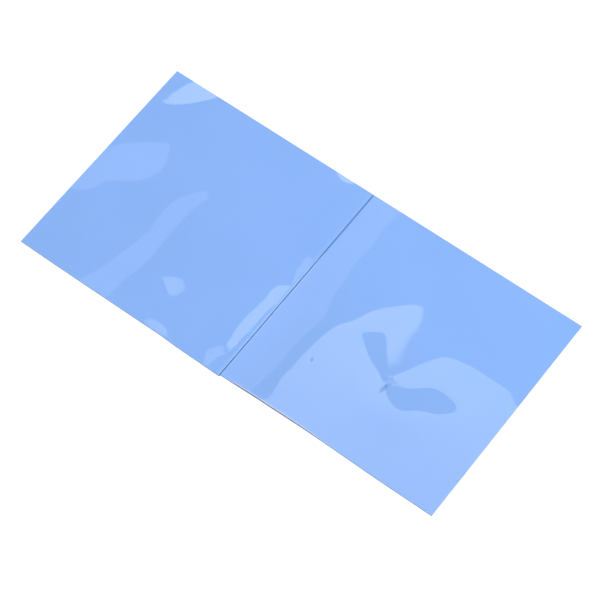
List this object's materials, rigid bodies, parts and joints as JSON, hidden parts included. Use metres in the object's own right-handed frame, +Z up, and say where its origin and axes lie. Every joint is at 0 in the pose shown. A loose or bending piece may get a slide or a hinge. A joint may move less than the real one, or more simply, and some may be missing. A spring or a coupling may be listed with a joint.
{
  "type": "thermal pad sheet",
  "caption": "Flat rectangular sheet of soft blue silicone thermal pad, scored across at mid-length, under clear glossy cover film that lies in slight waves.",
  "frame": {"origin": "middle of the underside, on the surface that the sheet lies on", "axes": "+X along the sheet's length, +Y across its width from the near edge to the far edge, +Z up through its thickness"},
  "size_m": [0.4, 0.201, 0.0022],
  "materials": {
    "silicone": "smooth, soft, satin filled silicone",
    "clear_film": "clear, smooth, glossy thin film"
  },
  "bodies": {
    "root": {"silicone_pad": "silicone", "cover_film_left": "clear_film", "cover_film_right": "clear_film"}
  },
  "joints": []
}
